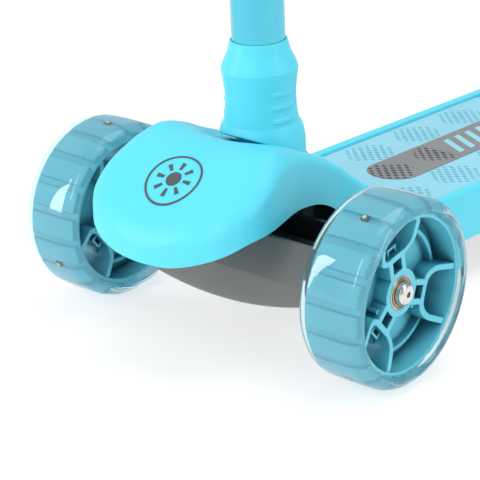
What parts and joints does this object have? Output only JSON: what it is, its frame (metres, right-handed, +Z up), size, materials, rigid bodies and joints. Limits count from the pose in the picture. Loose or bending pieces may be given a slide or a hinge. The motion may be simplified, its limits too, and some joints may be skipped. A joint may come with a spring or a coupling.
{
  "type": "kick scooter",
  "caption": "Children's three-wheeled kick scooter with lean steering, light-up front wheels, folding stem, sliding handlebar and a rear fender brake.",
  "frame": {"origin": "on the ground, under the middle of the whole scooter's box", "axes": "+X towards the rider's left, +Y towards the rear wheel, +Z up; the nose faces -Y"},
  "size_m": [0.306, 0.6032, 0.6855],
  "materials": {
    "blue_moulding": "satin moulded plastic, light blue",
    "frosted_pad": "frosted grip pad, light blue",
    "grey_panel": "grey printed centre panel",
    "black_moulding": "black moulded plastic",
    "badge_ink": "dark grey raised print",
    "grey_moulding": "satin grey moulded plastic",
    "blue_metal": "metallic light blue paint",
    "anodised_tube": "satin aluminium tube",
    "dark_casting": "black painted casting",
    "bright_steel": "bright zinc-plated steel",
    "bearing_steel": "ball bearing, steel with bronze-coloured shield",
    "spacer_alloy": "turned aluminium",
    "wheel_core": "glossy light blue moulded core",
    "clear_tyre": "clear cast polyurethane, tinted blue",
    "light_bulb": "small bulb in the tyre",
    "lever_plastic": "satin moulded plastic, light blue",
    "grip_rubber": "soft grey rubber"
  },
  "bodies": {
    "root": {"deck_shell": "blue_moulding", "deck_floor": "black_moulding", "deck_pad": "frosted_pad", "deck_panel": "grey_panel", "deck_spine": "dark_casting", "deck_screws": "bright_steel", "nose_cover": "blue_moulding", "nose_badge": "badge_ink", "head_frame": "dark_casting", "kingpin": "bright_steel", "kingpin_washer": "bright_steel", "kingpin_nut": "bright_steel", "fold_base": "dark_casting", "fold_pin": "bright_steel", "rear_fork": "dark_casting", "rear_axle_bolt": "bright_steel", "rear_axle_nut": "bright_steel", "rear_axle_spacers": "bright_steel", "brake_pin": "bright_steel"},
    "truck": {"axle_beam": "dark_casting", "truck_shell": "grey_moulding", "front_axle_bolts": "bright_steel", "front_axle_washers": "bright_steel", "steering_bushes": "grip_rubber"},
    "front_left_wheel": {"front_left_core": "wheel_core", "front_left_tyre": "clear_tyre", "front_left_bearings": "bearing_steel", "front_left_spacer": "spacer_alloy", "front_left_lights": "light_bulb"},
    "front_right_wheel": {"front_right_core": "wheel_core", "front_right_tyre": "clear_tyre", "front_right_bearings": "bearing_steel", "front_right_spacer": "spacer_alloy", "front_right_lights": "light_bulb"},
    "rear_wheel": {"rear_core": "wheel_core", "rear_tyre": "clear_tyre", "rear_bearings": "bearing_steel", "rear_spacer": "spacer_alloy", "rear_lights": "light_bulb"},
    "stem": {"lower_tube": "blue_metal", "stem_knuckle": "dark_casting", "lock_spring": "bright_steel", "slide_bush": "black_moulding", "clamp_band": "black_moulding", "clamp_bolt": "bright_steel", "clamp_nut": "bright_steel", "lever_pin": "bright_steel"},
    "collar": {"lock_collar": "blue_moulding"},
    "handlebar": {"upper_tube": "anodised_tube", "upper_tube_plug": "black_moulding", "bar_tee": "black_moulding", "crossbar": "anodised_tube", "left_grip": "grip_rubber", "right_grip": "grip_rubber", "bar_end_caps": "black_moulding"},
    "lever": {"clamp_lever": "lever_plastic"},
    "brake": {"brake_fender": "blue_moulding", "brake_pad": "black_moulding", "brake_spring": "bright_steel"}
  },
  "joints": [
    {"name": "steer", "type": "hinge", "parent": "root", "child": "truck", "pos_m": [0, -0.20907, 0.06], "axis": [0, -0.7071, 0.7071], "range_deg": [-10, 10], "stiffness_Nm_per_rad": 6},
    {"name": "front_left_spin", "type": "hinge", "parent": "truck", "child": "front_left_wheel", "pos_m": [0.115, -0.20907, 0.06], "axis": [1, 0, 0], "continuous": true},
    {"name": "front_right_spin", "type": "hinge", "parent": "truck", "child": "front_right_wheel", "pos_m": [-0.115, -0.20907, 0.06], "axis": [1, 0, 0], "continuous": true},
    {"name": "rear_spin", "type": "hinge", "parent": "root", "child": "rear_wheel", "pos_m": [0, 0.24593, 0.05], "axis": [1, 0, 0], "continuous": true},
    {"name": "stem_fold", "type": "hinge", "parent": "root", "child": "stem", "pos_m": [0, -0.16307, 0.1085], "axis": [-1, 0, 0], "range_deg": [0, 86]},
    {"name": "collar_lift", "type": "slide", "parent": "stem", "child": "collar", "axis": [0, -0.061, 0.9981], "range_m": [0, 0.012], "stiffness_N_per_m": 300, "springref_m": -0.01},
    {"name": "bar_height", "type": "slide", "parent": "stem", "child": "handlebar", "axis": [0, -0.061, 0.9981], "range_m": [0, 0.16]},
    {"name": "lever_swing", "type": "hinge", "parent": "stem", "child": "lever", "pos_m": [0.0145, -0.17858, 0.45408], "axis": [0, -0.061, 0.9981], "range_deg": [0, 100]},
    {"name": "brake_press", "type": "hinge", "parent": "root", "child": "brake", "pos_m": [0, 0.18793, 0.066], "axis": [-1, 0, 0], "range_deg": [0, 2.4], "stiffness_Nm_per_rad": 6, "springref_deg": -5.73}
  ]
}
